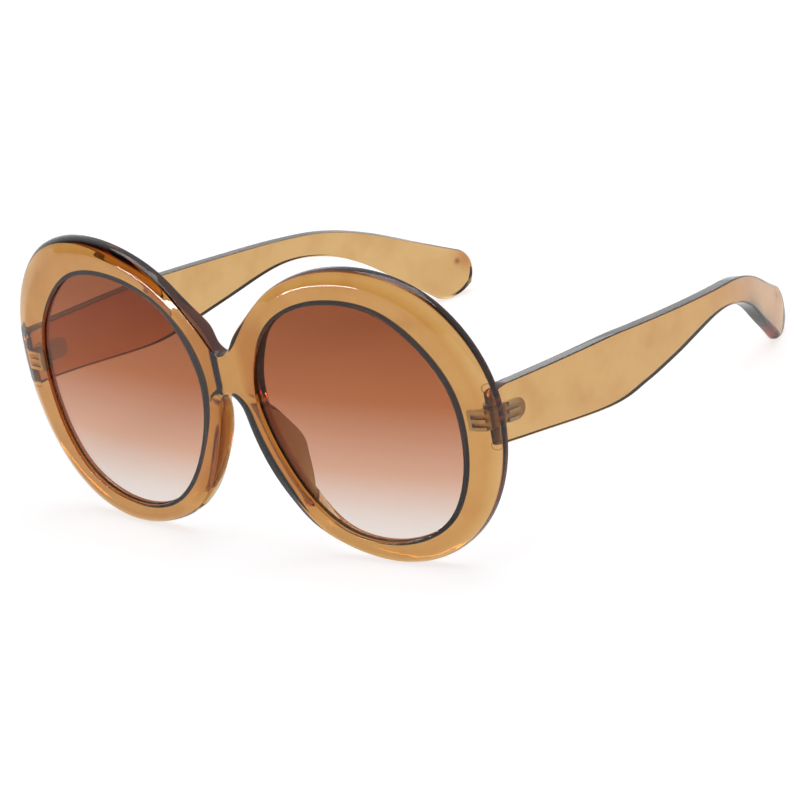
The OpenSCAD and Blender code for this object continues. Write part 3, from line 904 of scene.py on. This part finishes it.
def graded_lens():
    """Graded lens: clear plastic whose tint runs from brown at the top to almost clear at the bottom."""
    material, tree, output = shader("graded_lens")
    place = add_node(tree, "SeparateXYZ", {0: add_node(tree, "TexCoord").outputs["Object"]}).outputs
    height = in_range(tree, place["Z"], (RIM_BOTTOM * MM, (RIM_BOTTOM + LENS_H) * MM))
    ramp = add_node(tree, "ValToRGB", {0: height})
    stops = ramp.color_ramp.elements
    for share, _ in LENS_GRADE[1:-1]:
        stops.new(share)
    for stop, (share, colour) in zip(stops, LENS_GRADE):
        stop.position = share
        stop.color = colour
    # The lens's edge in the groove is painted near black as shade
    colour = mixed_colour(tree, face_mark(tree, "lens_edge"), ramp.outputs[0], LENS_EDGE_SHADE)
    glass = add_node(tree, "BsdfPrincipled", {"Base Color": colour, "Roughness": 0, "IOR": PLASTIC_IOR,
                                              "Transmission Weight": 1, "Specular Tint": LENS_MIRROR})
    finish_clear(tree, output, glass, LENS_SHADOW)
    return material


# Camera: degrees round from the front, up and rolled, and where it looks, in millimetres with Y from the face
PHOTO_AZIMUTH = 43.25
PHOTO_ELEVATION = 21.845
PHOTO_ROLL = -11.47
PHOTO_TARGET = (27.705, 27.465, 29.14)
PHOTO_DISTANCE = 1252.26
PHOTO_LENS = 241.94
SENSOR_W = 36
FAR_END = 100

# Studio: the world's strength by the height and depth of a direction, and the floor's colour and glow
WORLD_HEIGHTS = (0.02, 0.16)
WORLD_RISE = (1.0, 0.04)
MIRROR_DEPTHS = (-0.3, 0.1)
MIRROR_RISE = (0.05, 1.0)
BACKDROP = 0.8
FLOOR_COLOUR = (0.4, 0.4, 0.41, 1)
FLOOR_GLOW = 0.68
FLOOR_CAMERA_GLOW = 0.1
FLOOR_REACH = 4.0

# Lamps: name, place and target in metres, width and height, power, and whether the camera sees it
LAMPS = (
    ("ceiling_box", (0.1, 0.1, 1.3), (0, 0, 0), (1.2, 1.2), 14, True),
    ("crest_strip", (-0.436, -0.74, 0.045), (0, -0.07, 0.068), (0.34, 0.075), 2.2, False),
    ("back_left_box", (-0.72, 0.92, 0.33), (0.05, 0, 0.05), (0.6, 0.16), 0.2, False),
)


def photo_camera():
    """Camera at the photograph's viewing angle: a long lens, looking down on the wearer's left side."""
    azimuth, elevation, roll = np.radians([PHOTO_AZIMUTH, PHOTO_ELEVATION, PHOTO_ROLL])
    level = np.array([np.sin(azimuth), -np.cos(azimuth), 0])
    away = level * np.cos(elevation) + [0, 0, np.sin(elevation)]
    right = np.array([np.cos(azimuth), np.sin(azimuth), 0])
    up = np.cross(away, right)
    turned = np.cos(roll) * right + np.sin(roll) * up
    upright = -np.sin(roll) * right + np.cos(roll) * up
    target = np.array(PHOTO_TARGET) + [0, FACE_Y, 0]
    data = bpy.data.cameras.new("photo_camera")
    data.lens = PHOTO_LENS
    data.sensor_width = SENSOR_W
    data.clip_end = FAR_END
    camera = bpy.data.objects.new("photo_camera", data)
    place = Matrix(np.stack([turned, upright, away], -1).tolist()).to_4x4()
    place.translation = Vector((target + away * PHOTO_DISTANCE) * MM)
    camera.matrix_world = place
    bpy.context.scene.collection.objects.link(camera)
    bpy.context.scene.camera = camera


def studio_world():
    """Soft light from all around, and what shows in the plastic and metal.

    A direction's strength falls with its height, from a white horizon to a darker ceiling. For what is
    mirrored, it falls from a white back to a darker front instead. The camera sees a pale backdrop.
    """
    world = bpy.data.worlds.new("studio")
    bpy.context.scene.world = world
    world.use_nodes = True
    tree = world.node_tree
    tree.nodes.clear()
    path = add_node(tree, "LightPath").outputs
    way = add_node(tree, "SeparateXYZ", {0: add_node(tree, "TexCoord").outputs["Generated"]}).outputs
    ceiling = in_range(tree, way["Z"], WORLD_HEIGHTS, WORLD_RISE)
    mirrored = in_range(tree, way["Y"], MIRROR_DEPTHS, MIRROR_RISE)
    sky = add_node(tree, "Mix", {"Factor": path["Is Glossy Ray"], "A": ceiling, "B": mirrored})
    backdrop = maths(tree, "MULTIPLY", path["Is Camera Ray"], BACKDROP)
    strength = maths(tree, "MAXIMUM", sky.outputs["Result"], backdrop)
    light = add_node(tree, "Background", {"Color": WHITE, "Strength": strength})
    output = tree.nodes.new("ShaderNodeOutputWorld")
    tree.links.new(light.outputs[0], output.inputs[0])


def studio_floor():
    """White floor that keeps the shadow. It glows for the camera, in mirror images and through plastic."""
    material, tree, output = shader("floor_white")
    path = add_node(tree, "LightPath").outputs
    seen = maths(tree, "MAXIMUM", path["Is Camera Ray"], path["Is Glossy Ray"])
    seen = maths(tree, "MAXIMUM", seen, path["Is Transmission Ray"])
    shared = maths(tree, "MULTIPLY", seen, FLOOR_GLOW)
    strength = maths(tree, "MULTIPLY_ADD", path["Is Camera Ray"], FLOOR_CAMERA_GLOW, shared)
    glow = add_node(tree, "Emission", {"Strength": strength})
    paint = add_node(tree, "BsdfDiffuse", {"Color": FLOOR_COLOUR})
    both = add_node(tree, "AddShader", enumerate((paint.outputs[0], glow.outputs[0])))
    tree.links.new(both.outputs[0], output.inputs["Surface"])
    mesh = bpy.data.meshes.new("floor")
    corners = [(x * FLOOR_REACH, y * FLOOR_REACH, 0) for x, y in ((-1, -1), (1, -1), (1, 1), (-1, 1))]
    mesh.from_pydata(corners, [], [(0, 1, 2, 3)])
    mesh.materials.append(material)
    floor = bpy.data.objects.new("floor", mesh)
    bpy.context.scene.collection.objects.link(floor)


def studio_lamps():
    """Soft rectangular lamps, each facing its target."""
    for name, place, target, size, power, seen in LAMPS:
        data = bpy.data.lights.new(name, "AREA")
        data.shape = "RECTANGLE"
        data.size, data.size_y = size
        data.energy = power
        lamp = bpy.data.objects.new(name, data)
        lamp.location = place
        lamp.rotation_euler = (Vector(target) - Vector(place)).to_track_quat("-Z", "Y").to_euler()
        lamp.visible_camera = seen
        bpy.context.scene.collection.objects.link(lamp)


bpy.context.scene.view_settings.view_transform = "Standard"
photo_camera()
studio_world()
studio_floor()
studio_lamps()

pin_marks = [(bent(np.array(spot), FRONT_T), PIN_R, PIN_LINE, PIN_TINT) for spot in PIN_SPOTS]
front_amber = amber_plastic("amber_front", FRONT_DENSITY, marks=pin_marks)
temple_amber = amber_plastic("amber_temple", TEMPLE_DENSITY, marks=GATE_MARKS)
# Pads take a dark painted shade tint on their faces
pad_amber = amber_plastic("amber_pad", PAD_DENSITY, face=PAD_PAINTED_SHADE)
lens_plastic = graded_lens()
hinge_metal = metal("tumbled_nickel_silver", HINGE_COLOUR, HINGE_MARKS)
screw_steel = metal("turned_steel", SCREW_COLOUR, SCREW_MARKS)
finishes = {"front_hinge": hinge_metal, "temple_hinge": hinge_metal, "hinge_screw": screw_steel}

make_front(front_amber)
for side in ("left", "right"):
    make_lens(side, lens_plastic)
    make_temple(side, temple_amber)
    make_pad(side, pad_amber)
    for node, finish in finishes.items():
        slots = bpy.data.objects[side + "_" + node].data.materials
        slots.clear()
        slots.append(finish)
